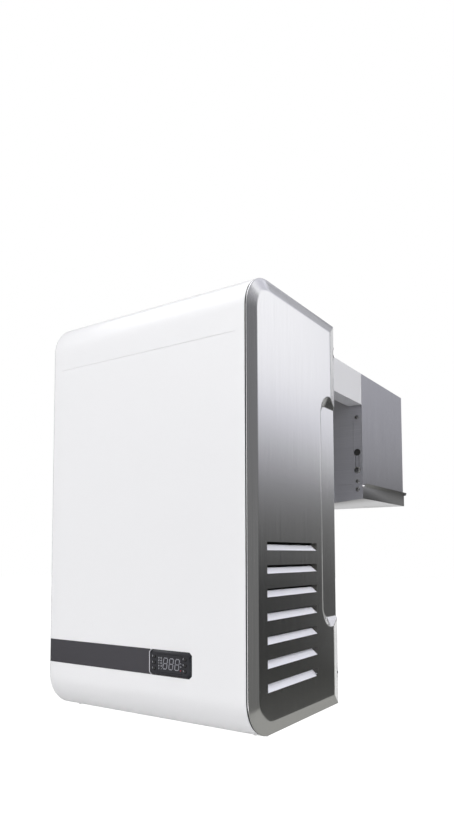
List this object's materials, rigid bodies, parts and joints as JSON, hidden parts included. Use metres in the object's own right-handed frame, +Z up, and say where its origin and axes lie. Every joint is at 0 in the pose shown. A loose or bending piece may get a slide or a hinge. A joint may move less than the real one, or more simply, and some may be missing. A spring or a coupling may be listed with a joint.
{
  "type": "monoblock refrigeration unit",
  "caption": "Through-wall cold-room cooling unit: a tall condensing box with louvred steel sides and a white front, joined by a bridge to an evaporator box with a drip tray.",
  "frame": {"origin": "centre of the four wall fixing holes, on the rear face of the back panel", "axes": "+X to the right seen from the front, +Y from the front cover into the cold room, +Z up"},
  "size_m": [0.46, 0.7829, 0.7618],
  "materials": {
    "white_cover": "satin white moulding",
    "dark_band": "dark grey satin",
    "steel_screw": "zinc plated",
    "black_screw": "black oxide",
    "bezel_plastic": "black moulding",
    "display_glass": "dark smoked window",
    "digit_grey": "unlit segments",
    "key_plastic": "black domes",
    "brushed_panel": "vertical brushing",
    "galvanised": "galvanised sheet",
    "foam": "closed cell foam",
    "foam_pale": "rigid foam",
    "compressor_paint": "black enamel on a pressed shell",
    "black_plastic": "black moulding",
    "grommet_rubber": "rubber",
    "fin_aluminium": "plain fins",
    "copper": "bare copper tube",
    "motor_paint": "black enamel",
    "black_steel": "black enamel",
    "valve_brass": "brass",
    "pale_plastic": "pale moulding",
    "bridge_paint": "pale grey coat",
    "hood_steel": "fine satin steel",
    "tray_steel": "satin steel"
  },
  "bodies": {
    "casing": {"front_cover": "white_cover", "accent_band": "dark_band", "cover_screws": "steel_screw", "controller_bezel": "bezel_plastic", "controller_body": "bezel_plastic", "display_window": "display_glass", "display_digits": "digit_grey", "side_panel_left": "brushed_panel", "side_panel_right": "brushed_panel", "panel_screws": "black_screw", "top_panel": "galvanised", "base_pan": "galvanised", "back_panel": "galvanised", "wall_gasket": "foam", "compressor_shell": "compressor_paint", "compressor_terminal_cover": "black_plastic", "compressor_grommets": "grommet_rubber", "compressor_nuts": "steel_screw", "condenser_fins": "fin_aluminium", "condenser_tubes": "copper", "fan_shroud": "black_plastic", "condenser_fan_motor": "motor_paint", "motor_bracket": "black_steel", "filter_drier": "copper", "capillary_coil": "copper", "hot_gas_valve": "valve_brass", "pressure_switch": "valve_brass", "suction_pipe": "copper", "discharge_pipe": "copper", "condenser_outlet_pipe": "copper", "liquid_pipe": "copper", "electrical_box": "galvanised", "electrical_lid": "galvanised", "terminal_block": "pale_plastic", "contactor": "black_plastic", "cable_gland": "black_plastic", "bridge_channel": "bridge_paint", "bridge_insulation": "foam_pale", "evaporator_top": "hood_steel", "evaporator_side_left": "hood_steel", "evaporator_side_right": "hood_steel", "evaporator_wall_plate": "hood_steel", "evaporator_rear_panel": "hood_steel", "evaporator_screws": "black_screw", "hanger_screws": "black_screw", "evaporator_fins": "fin_aluminium", "evaporator_tubes": "copper", "evaporator_baffle": "galvanised", "evaporator_fan_guard": "black_plastic", "evaporator_fan_motor": "motor_paint", "air_probe": "black_plastic", "drip_tray": "tray_steel"},
    "condenser_fan": {"condenser_fan_blades": "black_plastic"},
    "evaporator_fan": {"evaporator_fan_blades": "black_plastic"},
    "key_left_top": {"key_left_top": "key_plastic"},
    "key_left_middle": {"key_left_middle": "key_plastic"},
    "key_left_bottom": {"key_left_bottom": "key_plastic"},
    "key_right_top": {"key_right_top": "key_plastic"},
    "key_right_middle": {"key_right_middle": "key_plastic"},
    "key_right_bottom": {"key_right_bottom": "key_plastic"}
  },
  "joints": [
    {"name": "condenser_fan_spin", "type": "hinge", "parent": "casing", "child": "condenser_fan", "pos_m": [0, -0.1752, 0.1775], "axis": [0, 0, 1], "continuous": true},
    {"name": "evaporator_fan_spin", "type": "hinge", "parent": "casing", "child": "evaporator_fan", "pos_m": [0.0985, 0.4425, 0.19275], "axis": [0, 1, 0], "continuous": true},
    {"name": "key_left_top_press", "type": "slide", "parent": "casing", "child": "key_left_top", "axis": [0, 1, 0], "range_m": [0, 0.0008], "stiffness_N_per_m": 800, "springref_m": -0.0008},
    {"name": "key_left_middle_press", "type": "slide", "parent": "casing", "child": "key_left_middle", "axis": [0, 1, 0], "range_m": [0, 0.0008], "stiffness_N_per_m": 800, "springref_m": -0.0008},
    {"name": "key_left_bottom_press", "type": "slide", "parent": "casing", "child": "key_left_bottom", "axis": [0, 1, 0], "range_m": [0, 0.0008], "stiffness_N_per_m": 800, "springref_m": -0.0008},
    {"name": "key_right_top_press", "type": "slide", "parent": "casing", "child": "key_right_top", "axis": [0, 1, 0], "range_m": [0, 0.0008], "stiffness_N_per_m": 800, "springref_m": -0.0008},
    {"name": "key_right_middle_press", "type": "slide", "parent": "casing", "child": "key_right_middle", "axis": [0, 1, 0], "range_m": [0, 0.0008], "stiffness_N_per_m": 800, "springref_m": -0.0008},
    {"name": "key_right_bottom_press", "type": "slide", "parent": "casing", "child": "key_right_bottom", "axis": [0, 1, 0], "range_m": [0, 0.0008], "stiffness_N_per_m": 800, "springref_m": -0.0008}
  ]
}
